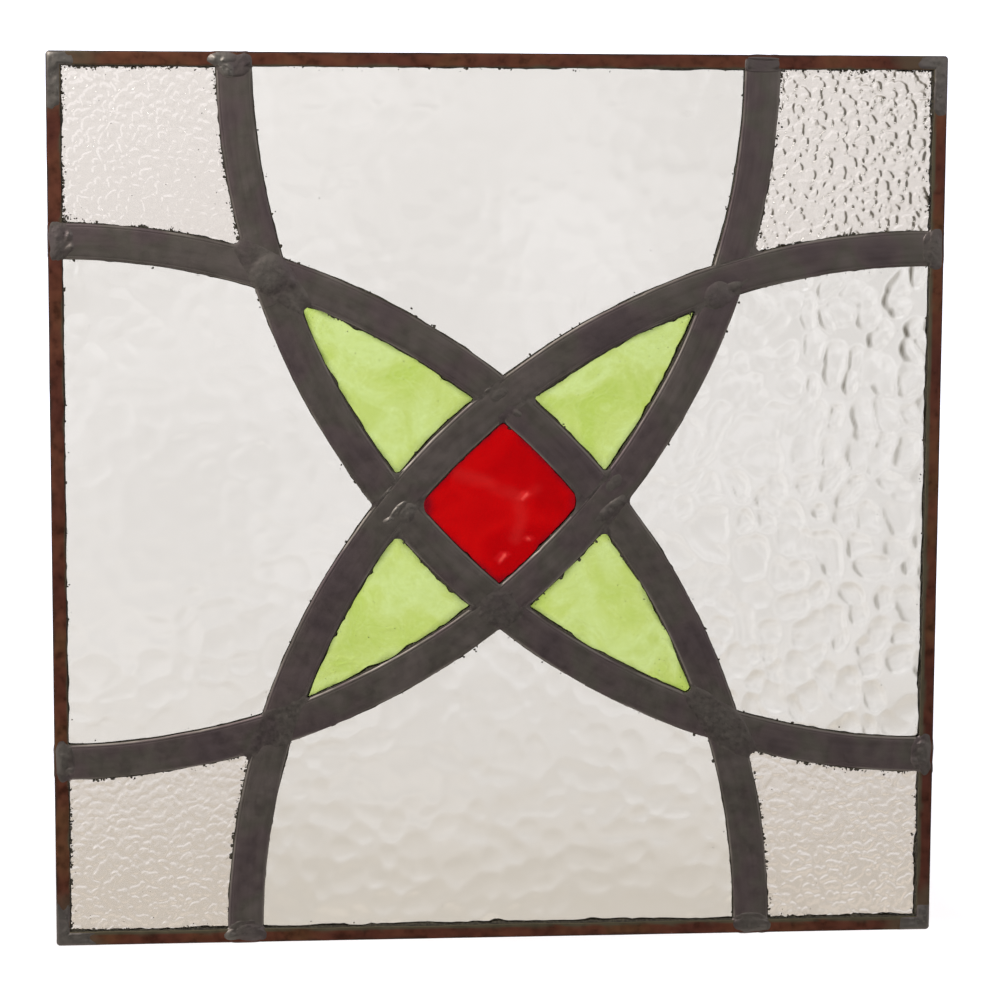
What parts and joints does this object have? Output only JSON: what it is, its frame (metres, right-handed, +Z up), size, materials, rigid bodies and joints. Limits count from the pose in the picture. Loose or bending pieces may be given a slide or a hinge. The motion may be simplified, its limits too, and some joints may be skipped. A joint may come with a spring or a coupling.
{
  "type": "stained glass window panel",
  "caption": "Square leaded light of curved lead cames and art glass: a red centre, green petals, clear hammered sides and stippled corners, in a copper edge channel.",
  "frame": {"origin": "middle of the outer face of the bottom channel, halfway through the panel's thickness", "axes": "+X to the right as the front is looked at, +Y from the front face to the back face, +Z up; the front faces -Y"},
  "size_m": [0.406, 0.0072, 0.406],
  "materials": {
    "copper": "copper channel, dulled to a dark red-brown",
    "lead": "drawn lead came, dark grey satin with age",
    "solder": "tin-lead solder, grey and lumpy",
    "hammered_glass": "clear rolled glass, hammered on one face",
    "granite_glass": "clear rolled glass, finely stippled on one face",
    "green_glass": "yellow-green cathedral glass with paler streaks",
    "red_glass": "ruby red cathedral glass with soft streaks",
    "cement": "glazing cement along the metal's edges, dark grey-green and crumbly"
  },
  "bodies": {
    "root": {"channel_bottom": "copper", "channel_right": "copper", "channel_top": "copper", "channel_left": "copper", "came_bottom_right": "lead", "came_top_left_to_left_rim": "lead", "came_top_left_middle": "lead", "came_top_left_to_top_rim": "lead", "came_top_right_to_top_rim": "lead", "came_top_right_upper_petal": "lead", "came_top_right_centre": "lead", "came_top_right_lower_petal": "lead", "came_top_right_to_right_rim": "lead", "came_bottom_left_to_sill": "lead", "came_bottom_left_centre": "lead", "came_bottom_left_upper_petal": "lead", "came_bottom_left_to_left_rim": "lead", "pane_red_centre": "red_glass", "pane_green_upper_left": "green_glass", "pane_green_upper_right": "green_glass", "pane_green_lower_left": "green_glass", "pane_green_lower_right": "green_glass", "pane_hammered_top": "hammered_glass", "pane_hammered_right": "hammered_glass", "pane_hammered_bottom": "hammered_glass", "pane_hammered_left": "hammered_glass", "pane_granite_top_left": "granite_glass", "pane_granite_top_right": "granite_glass", "pane_granite_bottom_left": "granite_glass", "pane_granite_bottom_right": "granite_glass", "solder_crossing_upper_left": "solder", "solder_crossing_upper_right": "solder", "solder_crossing_lower_left": "solder", "solder_crossing_lower_right": "solder", "solder_crossing_top": "solder", "solder_crossing_right": "solder", "solder_crossing_bottom": "solder", "solder_crossing_left": "solder", "solder_rim_top_left": "solder", "solder_rim_top_right": "solder", "solder_rim_bottom_left": "solder", "solder_rim_bottom_right": "solder", "solder_rim_left_upper": "solder", "solder_rim_left_lower": "solder", "solder_rim_right_upper": "solder", "solder_rim_right_lower": "solder", "solder_corner_top_left": "solder", "solder_corner_top_right": "solder", "solder_corner_bottom_left": "solder", "solder_corner_bottom_right": "solder"}
  },
  "joints": []
}
